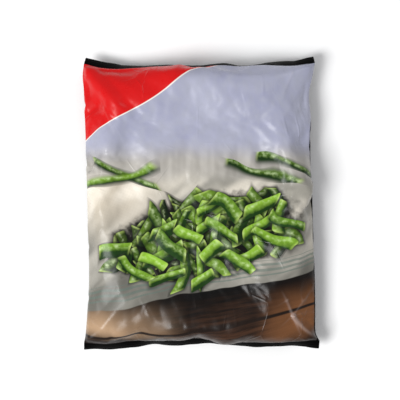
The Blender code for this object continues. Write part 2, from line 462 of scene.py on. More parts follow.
def pressed_bumps(slices):
    """The height in mm to which the slices lift a face, on the fine grid."""
    lift = np.zeros_like(flat_across)
    for piece in slices:
        dx, dy = flat_across - piece["place"][0], flat_along - piece["place"][1]
        c, s = math.cos(piece["turn"]), math.sin(piece["turn"])
        lengthways = (dx * c + dy * s) / piece["half_length"]
        sideways = (dy * c - dx * s) / (piece["half_width"] * 1.25)
        bump = piece["bump"] * np.exp(-(lengthways**4) - sideways**2)
        lift = np.maximum(lift, bump)
    return lift


front_slices, back_slices = laid_slices(), laid_slices()
print(len(front_slices) + len(back_slices), "slices against the film")

# %% [markdown]
# ## Folds and creases
#
# Film that is pulled from a corner breaks into long flat facets, which meet in a ridge or a
# valley. Film that was once bent sharply keeps a thin crease. Both are a line on the flat film
# with a width and a height: facets have a tent's profile, so that each side of it stays flat,
# and creases a narrow round one. The sharp ones make the star at the lower right, where the pack
# was dented, and the fine strokes near the foot. The creases are also kept as an attribute for the
# material, which pales the ink along them: partly the film's own whitening where it creases, partly
# a painted highlight on the crease ridges and pleats.

# %% Raise the folds
# Each row: start x, y, end x, y, half width and height, in mm on the flat film
FACETS = [
    (-119, 139, -52, 66, 9, 3.4), (-119, 116, -62, 40, 10, -3.3), (-96, 141, -14, 96, 10, -2.7),
    (119, 138, 44, 106, 12, 3.9), (119, 112, 66, 40, 10, -2.7), (60, 141, 10, 84, 14, 2.1),
    (-119, -138, -60, -84, 9, 3.0), (-84, -141, -24, -100, 11, -2.7), (24, -141, 62, -92, 12, 2.4),
    (119, -140, 92, -112, 8, 3.6), (-20, 141, -34, 70, 14, 1.8), (112, 30, 84, -70, 13, 2.2),
    (-112, 20, -84, -60, 12, 1.8), (112, 70, 70, 10, 10, -1.8),
]
CREASES = [
    (94, -112, 80, -86, 1.5, 1.0), (94, -112, 122, -142, 1.7, 1.5), (94, -112, 114, -92, 1.2, 0.6),
    (94, -112, 114, -110, 1.1, 0.4), (94, -112, 76, -122, 1.2, -0.5), (94, -112, 106, -136, 1.2, 0.8),
    (66, -96, 54, -82, 1.3, 0.6), (88, -98, 70, -106, 1.1, 0.4), (104, -100, 98, -78, 1.1, 0.4),
    (96, 128, 84, 100, 1.3, 0.5), (-96, 96, -78, 58, 1.3, 0.5), (30, 124, 66, 132, 1.2, 0.4),
    (-112, -118, -84, -128, 1.3, 0.5), (-60, -96, -44, -120, 1.1, 0.4), (106, 100, 114, 70, 1.2, 0.5),
]
PLEATS = [  # they fan out from the star to the side fold, are too round to whiten much, and take a weak painted highlight
    (116, -88, 94, -112, 2.0, 1.0), (117, -100, 94, -112, 2.2, -1.0), (117, -112, 94, -112, 2.2, 1.1),
    (116, -124, 94, -112, 2.0, -0.9),
]
STROKE_SEED, STROKES = 14, 16
FADE = 7.0  # mm over which raised detail fades out at the side folds and the seals


def raised(lines, profile):
    """The height in mm that a list of lines gives the fine grid; each line runs out at its end."""
    lift = np.zeros_like(flat_across)
    for x0, y0, x1, y1, half_width, height in lines:
        length = math.hypot(x1 - x0, y1 - y0)
        ux, uy = (x1 - x0) / length, (y1 - y0) / length
        dx, dy = flat_across - x0, flat_along - y0
        share = np.clip((dx * ux + dy * uy) / length, 0, 1)
        away = np.hypot(dx - share * length * ux, dy - share * length * uy)
        lift += height * (1 - share) ** 0.7 * profile(away / half_width)
    return lift


def tent(away):
    return np.clip(1.15 - np.sqrt(away**2 + 0.02), 0, 1)


def rounded(away):
    return np.exp(-(away**2))


def strokes():
    """Short faint creases over the lower half, from handling."""
    draw = np.random.default_rng(STROKE_SEED)
    lines = []
    for _ in range(STROKES):
        x, y, turn = draw.uniform(-90, 80), draw.uniform(-118, -50), draw.uniform(0.6, 2.5)
        length = draw.uniform(10, 26)
        end_x, end_y = x + length * math.cos(turn), y + length * math.sin(turn)
        lines.append((x, y, end_x, end_y, 1.1, draw.uniform(0.2, 0.4)))
    return lines


def crumple(seed, size, height):
    """Gentle unevenness from Perlin noise, of a size and a height in mm."""
    places = zip(flat_across.ravel() / size, flat_along.ravel() / size)
    values = [noise.noise((x, y, seed)) for x, y in places]
    return height * np.array(values).reshape(flat_across.shape)


def edge_fade():
    sides = (WEB_WIDTH / 2 / MM - np.abs(flat_across)) / FADE
    ends = (root / MM - np.abs(flat_along)) / FADE
    near = np.clip(np.minimum(sides, ends), 0, 1)
    return near**2 * (3 - 2 * near)


creases = CREASES + strokes()
pleats = raised(PLEATS, rounded)
front_lift = pressed_bumps(front_slices) + raised(FACETS, tent) + raised(creases, rounded) + pleats
front_lift += crumple(4.1, 38.0, 1.0) + crumple(9.7, 13.0, 0.28)
back_lift = pressed_bumps(back_slices) + crumple(6.3, 30.0, 0.9) + crumple(2.9, 12.0, 0.3)
# Paleness along creases and pleats: partly the film's own whitening, partly a painted highlight on their
# ridges
paleness_and_highlight = np.abs(raised(creases, rounded)) + 0.25 * np.abs(pleats)
print("front lift, mm:", front_lift.min().round(2), "to", front_lift.max().round(2))

# %% [markdown]
# ## The lap seal
#
# The tube is closed by lapping one edge of the web over the other and sealing them together. On
# the back this is a band that stands one film thickness proud, with a crisp free edge on one side
# and the fine cross ribs of the sealing jaw. It is raised out of the back grid, so it is one with
# the film, as it is on the real pack.

# %% Raise the lap seal
LAP_WIDTH = 12.0  # mm
LAP_LIFT = 0.45
RIB_PITCH = 3.6  # coarser than the real 1 mm, which the grid can't hold
RIB_HEIGHT = 0.08
FREE_EDGE, WELDED_EDGE = 1.0, 3.0  # mm over which each edge of the lap rises
free_side = np.clip((LAP_WIDTH / 2 - flat_across) / FREE_EDGE, 0, 1)
welded_side = np.clip((flat_across + LAP_WIDTH / 2) / WELDED_EDGE, 0, 1)
back_lift += free_side * welded_side * (LAP_LIFT + RIB_HEIGHT * np.sin(flat_along / RIB_PITCH * math.tau))

front = front + outward(front, 1) * (front_lift * edge_fade())[..., None] * MM
back = back + outward(back, -1) * (back_lift * edge_fade())[..., None] * MM
lowest = back[..., 2].min()
front[..., 2] -= lowest
back[..., 2] -= lowest
print("back lies on the table, front stands", round(front[..., 2].max() / MM, 1), "mm above it")

# %% [markdown]
# ## The end seals
#
# At each end the two plies are welded into one stiff strip. Its root follows the filled pack, and
# the strip hangs down from there at an angle that changes along it, which is why it looks thick
# at the corners and thin in the middle. Each row of the strip is the last one moved on by a short
# step, so a curl is only an angle that grows from row to row. The full back film would bulge
# through a seal that hangs so steeply, so it is pressed in behind it.

# %% Hang the seals
SEAL_STEPS = 12
PLY = 0.25 * MM  # half the strip's thickness
JAW_RIB = 0.12 * MM
JAW_RIBS = 4
CUT_WANDER = 0.8 * MM
TUCK_ROWS = 40  # rows of the back film next to each seal that are pressed in
SEAL_GAP = 0.6 * MM  # between a seal and the back film that it hangs over


def ripples(places, seed, longest):
    """A smooth wander between about -1 and 1 along a strip, with waves of longest mm or less."""
    draw = np.random.default_rng(seed)
    total = np.zeros_like(places)
    for order in range(1, 6):
        total += np.sin(places / longest * order * math.tau + draw.uniform(0, math.tau)) / order
    return total / 1.8


def seal_plies(root_line, end, hang, seed):
    """The front and back ply of a seal, one row for each step from the root out."""
    places = flat_across[0]
    tangent = np.gradient(root_line, axis=0)
    tangent /= np.linalg.norm(tangent, axis=1, keepdims=True)
    out = np.stack([-tangent[:, 1] * end, tangent[:, 0] * end, np.zeros(len(places))], axis=1)
    out /= np.linalg.norm(out, axis=1, keepdims=True)
    angle = along_knots(hang, places / places[-1]) + 3.0 * ripples(places, seed, 60.0)
    depth = SEAL_DEPTH + CUT_WANDER * ripples(places, seed + 1, 60.0)
    row = root_line.copy()
    fronts, backs = [], []
    for step in range(SEAL_STEPS + 1):
        bend = np.radians(angle + CURL * step / SEAL_STEPS)[:, None]
        move = np.cos(bend) * out + np.sin(bend) * np.array([0.0, 0.0, -1.0])
        normal = np.cross(tangent, move) * end
        if step:
            row = row + move * (depth / SEAL_STEPS)[:, None]
        rib = JAW_RIB * math.sin(step / SEAL_STEPS * JAW_RIBS * math.tau) * min(1, step)
        fronts.append(row + normal * (rib + PLY))
        backs.append(row + normal * (rib - PLY))
    return np.array(fronts), np.array(backs)


def tuck_behind(seal, end):
    """Press the back film in where it would bulge through the seal that hangs over it."""
    rows = slice(1, TUCK_ROWS) if end < 0 else slice(-TUCK_ROWS, -1)
    for column in range(FINE_COLUMNS + 1):
        strip = seal[::-1, column]
        film = back[rows, column]
        limit = np.interp(film[:, 2], strip[:, 2], end * strip[:, 1])
        gap = np.clip((strip[-1, 2] - film[:, 2]) * 0.4, 0, SEAL_GAP)
        film[:, 1] = end * np.minimum(end * film[:, 1], limit - gap)


foot_front, foot_back = seal_plies(front[0], -1, FOOT_HANG, 5)
head_front, head_back = seal_plies(front[-1], 1, HEAD_HANG, 8)
tuck_behind(foot_back, -1)
tuck_behind(head_back, 1)
front_rows = np.concatenate([foot_front[::-1], front[1:-1], head_front])
back_rows = np.concatenate([foot_back[::-1], back[1:-1], head_back])
for side in (0, -1):
    front_rows[:, side] = (front_rows[:, side] + back_rows[:, side]) / 2
strip = np.linspace(root, WEB_LENGTH / 2, SEAL_STEPS + 1)
row_places = np.concatenate([-strip[::-1], flat_along[1:-1, 0] * MM, strip])
print("film rows:", len(row_places), "and the cut edges reach", front_rows[[0, -1], :, 1].mean(1) / MM)

# %% [markdown]
# ## One closed skin
#
# Front and back now become rings round the tube, and the skin is a loft through the rings, with
# the two cut edges closed. Each face corner also keeps its place on the flat web, in a UV map.
# The print is laid out on the flat web, so it bends and creases with the film. The map starts and
# ends at the lap seal, which is where the real web's two edges are.

# %% Loft the skin
RING = 2 * FINE_COLUMNS
LAP_STEP = FINE_COLUMNS * 3 // 2  # the ring's step at the middle of the back
rings = np.concatenate([front_rows, back_rows[:, -2:0:-1]], axis=1)
ring_count = len(rings)
steps = np.arange(RING)
ahead = (steps + 1) % RING
starts = np.arange(ring_count - 1)[:, None] * RING
skin_corners = [starts + steps, starts + ahead, starts + RING + ahead, starts + RING + steps]
skin_faces = np.stack(skin_corners, axis=-1).reshape(-1, 4).tolist()
girth = (steps / FINE_COLUMNS - 0.5) / 2 - (steps >= LAP_STEP)
girth_ahead = girth + 0.5 / FINE_COLUMNS
length_share = row_places / WEB_LENGTH
lower, upper = np.meshgrid(length_share[:-1], girth, indexing="ij")
web_corners = np.stack([
    np.stack([upper, lower], -1),
    np.stack([np.broadcast_to(girth_ahead, lower.shape), lower], -1),
    np.stack([np.broadcast_to(girth_ahead, lower.shape), lower + np.diff(length_share)[:, None]], -1),
    np.stack([upper, lower + np.diff(length_share)[:, None]], -1),
], axis=2).reshape(-1, 2)
cap_corners = []
for column in range(FINE_COLUMNS):
    near = [column, (RING - column) % RING, (RING - column - 1) % RING, column + 1]
    near = list(dict.fromkeys(near))
    for base, order, place in ((0, near, -0.5), ((ring_count - 1) * RING, near[::-1], 0.5)):
        skin_faces.append([base + corner for corner in order])
        cap_corners += [(column / RING - 0.25, place)] * len(order)

skin_mesh = bpy.data.meshes.new("film_skin")
skin_mesh.from_pydata(rings.reshape(-1, 3).tolist(), [], skin_faces)
web_map = skin_mesh.uv_layers.new(name="flat_web")
web_places = np.concatenate([web_corners, np.array(cap_corners)]) + 0.5
web_map.data.foreach_set("uv", web_places.astype(np.float32).ravel())
crease_rows = np.zeros(rings.shape[:2])
crease_rows[SEAL_STEPS + 1:SEAL_STEPS + 1 + FINE_ROWS - 1, :FINE_COLUMNS + 1] = paleness_and_highlight[1:-1]
crease_marks = skin_mesh.attributes.new("crease", "FLOAT", "POINT")
crease_marks.data.foreach_set("value", crease_rows.astype(np.float32).ravel())
skin_mesh.shade_smooth()
skin_mesh.set_sharp_from_angle(angle=math.radians(50))
film_skin = placed("film_skin", skin_mesh)
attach(film_skin, "root")
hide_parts("film_bag")
print("film skin:", len(skin_mesh.polygons), "faces")

# %% [markdown]
# ## Printing: one layer of sliced beans
#
# The film's picture is a photograph in a few inks, so its beans are flat colour with their light
# and shadow in it. One layer is made of cells on a turned grid, each with one slice of its own
# length, bend and cut. Eight layers at different turns, each with a shadow on the ones below,
# make a drift in which no grid shows. All lengths are millimetres on the flat web.

# %% A layer of slices
PRINT_LIGHT = math.radians(128)  # where the light in the printed picture comes from


def layer_group():
    """A node group that strews one layer of slices over the colour under it."""
    tree = bpy.data.node_groups.new("slice_layer", "ShaderNodeTree")
    kinds = {
        "Bent Web": "Vector", "Grain": "Float", "Under": "Color",
        "Angle": "Float", "Seed": "Float", "Side": "Float",
        "Cell": "Vector", "Size": "Vector", "Blur": "Float", "Bow": "Float",
        "Patch Place": "Vector", "Patch Turn": "Vector", "Patch Size": "Vector",
        "Deep": "Color", "Bright": "Color", "Shadow": "Float",
    }
    for name, kind in kinds.items():
        tree.interface.new_socket(name, in_out="INPUT", socket_type="NodeSocket" + kind)
    tree.interface.new_socket("Colour", in_out="OUTPUT", socket_type="NodeSocketColor")
    given = tree.nodes.new("NodeGroupInput").outputs
    node = partial(add, tree)

    # The grid: the bent web turned, cut into rows and the rows into cells
    turned = node("VectorRotate", given["Bent Web"], Angle=given["Angle"], rotation_type="Z_AXIS")
    cell = node("SeparateXYZ", given["Cell"]).outputs
    place = node("SeparateXYZ", turned).outputs
    row = node("Math.FLOOR", node("Math.DIVIDE", place[1], cell[1]))
    shift = node(
        "TexWhiteNoise", node("Math.MULTIPLY_ADD", given["Seed"], 91.0, row), noise_dimensions="1D",
    )
    along = node("Math.ADD", node("Math.DIVIDE", place[0], cell[0]), shift.outputs["Value"])
    column = node("Math.FLOOR", along)
    number = node("CombineXYZ", column, row, given["Seed"])
    draw = node("SeparateColor", node("TexWhiteNoise", number).outputs["Color"]).outputs
    more = node("VectorMath.ADD", number, (0.37, 0.61, 0.83))
    draw2 = node("SeparateColor", node("TexWhiteNoise", more).outputs["Color"]).outputs

    # The slice: a bar in its cell, slid, turned and bent a little
    x = node("Math.MULTIPLY", node("Math.SUBTRACT", node("Math.FRACT", along), 0.5), cell[0])
    y = node("Math.SUBTRACT", place[1], node("Math.MULTIPLY", node("Math.ADD", row, 0.5), cell[1]))
    y = node("Math.ADD", y, node("Math.MULTIPLY_ADD", draw[1], 3.0, -1.5))
    tilt = node("Math.MULTIPLY_ADD", draw[2], 0.36, -0.18)
    y = node("Math.SUBTRACT", y, node("Math.MULTIPLY", x, tilt))
    bow = node("Math.MULTIPLY", node("Math.SUBTRACT", draw2[0], 0.5), given["Bow"])
    y = node(
        "Math.SUBTRACT", node("Math.MULTIPLY_ADD", node("Math.MULTIPLY", x, x), bow, y),
        node("Math.MULTIPLY", bow, 90.0),
    )
    size = node("SeparateXYZ", given["Size"]).outputs
    half_length = node("Math.MULTIPLY", size[0], node("Math.MULTIPLY_ADD", draw2[1], 0.5, 0.5))
    half_width = node("Math.MULTIPLY", size[1], node("Math.MULTIPLY_ADD", draw2[2], 0.35, 0.65))
    slant = node("Math.MULTIPLY_ADD", draw[0], 1.8, -0.9)
    past_end = node(
        "Math.SUBTRACT", node("Math.ABSOLUTE", node("Math.MULTIPLY_ADD", y, slant, x)), half_length,
    )
    past_side = node("Math.SUBTRACT", node("Math.ABSOLUTE", y), half_width)
    outside = node("Math.SMOOTH_MAX", past_end, past_side, 3.5)

    # Which cells have a slice: those whose middle lies in the patch, with a ragged edge
    middle_x = node("Math.SUBTRACT", node("Math.ADD", column, 0.5), shift.outputs["Value"])
    middle_x = node("Math.MULTIPLY", middle_x, cell[0])
    middle_y = node("Math.MULTIPLY", node("Math.ADD", row, 0.5), cell[1])
    middle = node("CombineXYZ", middle_x, middle_y, 0.0)
    back_turn = node("Math.MULTIPLY", given["Angle"], -1.0)
    middle = node("VectorRotate", middle, Angle=back_turn, rotation_type="Z_AXIS")
    patch = node(
        "Mapping", middle, given["Patch Place"], given["Patch Turn"], given["Patch Size"],
        vector_type="TEXTURE",
    )
    reach = node("VectorMath.LENGTH", patch).outputs["Value"]
    present = node("Math.LESS_THAN", node("Math.MULTIPLY_ADD", draw2[1], 0.22, reach), 1.05)

    # Its light: a rounded back, a wet line along it, a paler cut at each end
    across = node("Math.DIVIDE", y, half_width)
    facing = node(
        "Math.SQRT",
        node("Math.MAXIMUM", node("Math.SUBTRACT", 1.0, node("Math.MULTIPLY", across, across)), 0.0),
    )
    lit = node("Math.MULTIPLY_ADD", across, given["Side"], node("Math.MULTIPLY", facing, 0.5))
    grain = given["Grain"]
    tone = node("Math.MULTIPLY_ADD", grain, 0.7, node("Math.MULTIPLY_ADD", draw[2], 0.8, -0.92))
    tone = node("Math.MULTIPLY_ADD", lit, 1.3, tone, use_clamp=True)
    flesh = node("Mix.RGBA", tone, given["Deep"], given["Bright"])
    cut = node("MapRange.SMOOTHSTEP", past_end, -3.2, -0.6, 0.0, 0.55)
    paler = node("Math.MULTIPLY", cut, node("Math.MULTIPLY_ADD", lit, 0.9, 0.25), use_clamp=True)
    flesh = node("Mix.RGBA", paler, flesh, linear("C4DC74"))
    gloss_line = node("Math.SUBTRACT", across, node("Math.MULTIPLY", given["Side"], 0.75))
    gloss = node(
        "Math.POWER", math.e,
        node("Math.MULTIPLY", node("Math.MULTIPLY", gloss_line, gloss_line), -9.0),
    )
    broken = node("MapRange", grain, 0.44, 0.72, 0.0, 0.55)
    gloss = node("Math.MULTIPLY", gloss, broken)
    flesh = node("Mix.RGBA", gloss, flesh, linear("DCEBBE"))

    # Laid over what is under it, which it shades a little past its own edge
    blur = node("Math.MULTIPLY", given["Blur"], -1.0)
    cover = node("MapRange.SMOOTHSTEP", outside, given["Blur"], blur, 0.0, 1.0)
    halo_edge = node("Math.MULTIPLY_ADD", given["Blur"], 2.0, 3.2)
    halo = node("MapRange.SMOOTHSTEP", outside, halo_edge, -1.0, 1.0, given["Shadow"])
    halo = node("Mix", present, 1.0, halo)
    under = node("VectorMath.SCALE", given["Under"], Scale=halo)
    laid = node("Mix.RGBA", node("Math.MULTIPLY", cover, present), under, flesh)
    tree.links.new(laid.outputs[2], tree.nodes.new("NodeGroupOutput").inputs[0])
    return tree


slice_layer = layer_group()
print("slice layer:", len(slice_layer.nodes), "nodes")

# %% [markdown]
# ## Printing: the picture
#
# The print is generic: a drift of sliced beans on a pale linen towel over brown boards, with a
# bare pale field above and a plain red corner. It is built up from the farthest thing to the
# nearest, as a painter would. The ink stops short of the side fold at the right and of both seals,
# where the web is plain black.

# %% The picture
HEM_FROM, HEM_SLOPE = -91.0, 0.17  # mm and the slope of the towel's hem
RULE_TOP, RULE_SLOPE = 128.0, 0.52  # the red corner's lower edge at x = 0 and its slope


def picture(tree, web):
    """The print's colour at each place on the flat web, in mm from its middle."""
    node = partial(add, tree)

    def stretched(angle, length, width):
        """The web turned by an angle in degrees, then divided by a length and a width."""
        turn = (0.0, 0.0, math.radians(angle))
        return node("Mapping", web, (0.0, 0.0, 0.0), turn, (length, width, 1.0), vector_type="TEXTURE")

    x, y, _ = node("SeparateXYZ", web).outputs
    drifting = node("TexNoise", web, Scale=1 / 60, Detail=2.0)
    fine = node("TexNoise", web, Scale=1 / 9, Detail=3.0)

    # Boards: streaks along the grain, a joint every 42 mm, and pale tan over the left part, a painted
    # reflection of the film's sheen
    streaks = node("TexNoise", stretched(7, 60, 3.2), Scale=1.0, Detail=4.0, Roughness=0.62)
    # The left part of the boards is mixed toward a pale tan: a painted reflection of the film's sheen,
    # which also thins the towel's printed shadow there
    painted_sheen_left = node("MapRange.SMOOTHSTEP", node("Math.MULTIPLY_ADD", drifting, 60.0, x), 20.0, -80.0)
    colour = node(
        "Mix.RGBA", node("MapRange.SMOOTHSTEP", streaks, 0.32, 0.72), linear("180E09"),
        linear("452C1D"),
    )
    colour = node("Mix.RGBA", node("Math.MULTIPLY", painted_sheen_left, 0.85), colour, linear("BE9E7E"))
    far_side = node(
        "Math.MULTIPLY",
        node("MapRange.SMOOTHSTEP", node("Math.MULTIPLY_ADD", drifting, 40.0, x), 70.0, 118.0), 0.6,
    )
    colour = node("Mix.RGBA", far_side, colour, linear("8A5A36"))
    board = node("SeparateXYZ", stretched(7, 42, 42)).outputs[1]
    joint = node(
        "Math.ABSOLUTE", node("Math.SUBTRACT", node("Math.FRACT", node("Math.ADD", board, 0.31)), 0.5),
    )
    colour = node(
        "Mix.RGBA", node("MapRange.SMOOTHSTEP", joint, 0.045, 0.015), colour, linear("1C110B"),
    )
    colour = node(
        "Mix.RGBA",
        node("MapRange.SMOOTHSTEP", node("Math.MULTIPLY_ADD", drifting, 30.0, y), -108.0, -124.0),
        colour, linear("1D130E"),
    )

    # Towel: soft folds, a coarse plain weave, three woven stripes along the hem
    hem = node("Math.SUBTRACT", y, node("Math.MULTIPLY_ADD", x, HEM_SLOPE, HEM_FROM))
    hem = node("Math.ADD", hem, node("Math.MULTIPLY_ADD", drifting, 14.0, -7.0))
    folds = node("TexNoise", stretched(38, 110, 26), Scale=1.0, Detail=1.5, Distortion=0.6)
    towel_dark = node(
        "Mix.RGBA", node("MapRange.SMOOTHSTEP", y, -80.0, 0.0), linear("67655E"), linear("928F86"),
    )
    towel_light = node(
        "Mix.RGBA", node("MapRange.SMOOTHSTEP", y, -90.0, 10.0), linear("99968D"), linear("D9D2C4"),
    )
    near_glow = node("VectorMath.DISTANCE", web, (-92.0, 22.0, 0.0)).outputs["Value"]
    towel_light = node(
        "Mix.RGBA", node("MapRange.SMOOTHSTEP", near_glow, 70.0, 10.0), towel_light, linear("F0E7D8"),
    )
    towel_dark = node(
        "Mix.RGBA", node("MapRange.SMOOTHSTEP", near_glow, 80.0, 10.0), towel_dark, linear("CFC4B2"),
    )
    towel = node("Mix.RGBA", node("MapRange.SMOOTHSTEP", folds, 0.36, 0.66), towel_dark, towel_light)
    threads = stretched(10, 1.0, 1.0)
    weave_x = node("TexWave", threads, Scale=1 / 4.4, Distortion=0.6, bands_direction="X")
    weave_y = node("TexWave", threads, Scale=1 / 4.4, Distortion=0.6, bands_direction="Y")
    weave = node("Math.MULTIPLY", weave_x.outputs["Fac"], weave_y.outputs["Fac"])
    towel = node("Mix.RGBA", node("Math.MULTIPLY", weave, 0.20), towel, linear("77786F"))
    stripe = node(
        "Math.ABSOLUTE", node("Math.SUBTRACT", node("Math.FRACT", node("Math.DIVIDE", hem, 5.0)), 0.5),
    )
    stripe = node(
        "Math.MULTIPLY", node("MapRange.SMOOTHSTEP", stripe, 0.28, 0.20),
        node("Math.COMPARE", hem, 14.5, 7.4),
    )
    towel = node("Mix.RGBA", node("Math.MULTIPLY", stripe, 0.6), towel, linear("5E6E66"))
    shaded = node("MapRange.SMOOTHSTEP", node("Math.MULTIPLY_ADD", painted_sheen_left, -16.0, hem), -34.0, -2.0)
    shade = node("Mix.RGBA", shaded, linear("FFFFFF"), linear("241C18"))
    colour = node("Mix.RGBA", 1.0, colour, shade, blend_type="MULTIPLY")
    colour = node("Mix.RGBA", node("MapRange.SMOOTHSTEP", hem, -0.6, 0.6), colour, towel)

    # Far off and out of focus: pale boards, then a bare field
    planks = node("TexNoise", stretched(90, 70, 11), Scale=1.0, Detail=1.0)
    far = node(
        "Mix.RGBA", node("MapRange.SMOOTHSTEP", planks, 0.35, 0.65), linear("A29E97"), linear("B6B2AB"),
    )
    height = node("Math.ADD", y, node("Math.MULTIPLY_ADD", drifting, 20.0, -10.0))
    colour = node("Mix.RGBA", node("MapRange.SMOOTHSTEP", height, 14.0, 34.0), colour, far)
    field = node(
        "Mix.RGBA", node("MapRange.SMOOTHSTEP", drifting, 0.35, 0.65), linear("9A9CB4"),
        linear("AFB1C4"),
    )
    field = node("Mix.RGBA", node("MapRange.SMOOTHSTEP", fine, 0.2, 0.9), field, linear("A4A6B6"))
    colour = node("Mix.RGBA", node("MapRange.SMOOTHSTEP", height, 38.0, 64.0), colour, field)

    # Whole pods in soft focus, then the drift: eight layers, the lowest ones in shadow
    def strewn(under, turn, seed, depth, cell, size, blur, bow, patch, shadow):
        angle = math.radians(turn)
        dark = [part * depth for part in linear("173A09")[:3]] + [1.0]
        light = [part * depth for part in linear("96C63C")[:3]] + [1.0]
        place, tilt, radii = patch
        return node(
            "Group", node_tree=slice_layer, Bent_Web=bent, Grain=grain, Under=under, Angle=angle,
            Seed=seed, Side=0.75 * math.sin(PRINT_LIGHT + angle), Cell=cell, Size=size, Blur=blur,
            Bow=bow, Patch_Place=(*place, 0.0), Patch_Turn=(0.0, 0.0, math.radians(tilt)),
            Patch_Size=(*radii, 1.0), Deep=dark, Bright=light, Shadow=shadow,
        )

    wander = node("TexNoise", web, Scale=1 / 55, Detail=1.0).outputs["Color"]
    wander = node("VectorMath.SUBTRACT", wander, (0.5, 0.5, 0.5))
    bent = node("VectorMath.MULTIPLY_ADD", wander, (30.0, 30.0, 0.0), web)
    grain = node("TexNoise", web, Scale=1 / 5, Detail=2.0)
    pods = ((-62, 24), 16, (46, 17))
    far_pods = ((84, 30), -20, (34, 12))
    pod_layers = ((-24, 31.0, far_pods), (12, 33.0, far_pods), (18, 35.0, pods), (-14, 36.0, pods))
    for turn, seed, patch in pod_layers:
        colour = strewn(colour, turn, seed, 0.62, (96, 12, 0), (52, 5.4, 0), 2.6, 0.006, patch, 0.72)

    heap = ((4, -34), 12, (98, 41))
    spread = node(
        "Mapping", web, (*heap[0], 0.0), (0.0, 0.0, math.radians(heap[1])), (*heap[2], 1.0),
        vector_type="TEXTURE",
    )
    reach = node("VectorMath.LENGTH", spread).outputs["Value"]
    reach = node("Math.ADD", reach, node("Math.MULTIPLY_ADD", fine, 0.4, -0.2))
    colour = node("Mix.RGBA", node("MapRange.SMOOTHSTEP", reach, 1.06, 0.84), colour, linear("100F08"))
    for level, turn in enumerate((20, 75, 130, -10, 50, 100, 155, 32)):
        depth = 0.12 + 0.88 * (level / 7) ** 1.3
        room = 1 + 0.05 * level
        cell = (42 * room, 15 * room, 0)
        shadow = 0.14 + 0.03 * level
        colour = strewn(colour, turn, 3.0 + level, depth, cell, (22, 6.6, 0), 0.35, 0.016, heap, shadow)

    # A plain red corner with a thin pale rule
    corner = node("Math.SUBTRACT", y, node("Math.MULTIPLY_ADD", x, RULE_SLOPE, RULE_TOP))
    colour = node("Mix.RGBA", node("MapRange.SMOOTHSTEP", corner, -1.4, -0.9), colour, linear("E9E4DC"))
    colour = node("Mix.RGBA", node("MapRange.SMOOTHSTEP", corner, -0.1, 0.3), colour, linear("CE1012"))
    return colour


# %% [markdown]
# ## The film
#
# Printed polyethylene is satin: its highlights are broad and a little broken by fine wrinkles. The
# black of both seals and of the back is the web's own ink, printed solid. The needle vents on the
# back are where the machine pierces the film so that air can leave.

# %% The printed film
SIDE_STOP, END_STOP = 2.0, 0.8  # mm of black between the print and the right fold, and the seals
STOP_FROM, STOP_TO = 98.0, 76.0  # mm up the web; above this stretch the print runs past the fold
LEFT_WRAP = 4.0  # mm of print past the left fold
VENT_ROW, VENT_PITCH, VENT_RADIUS = 90.0, 16.0, 0.8  # mm
VENT_BAND = 50.0  # mm to each side of the lap seal that the row of vents reaches


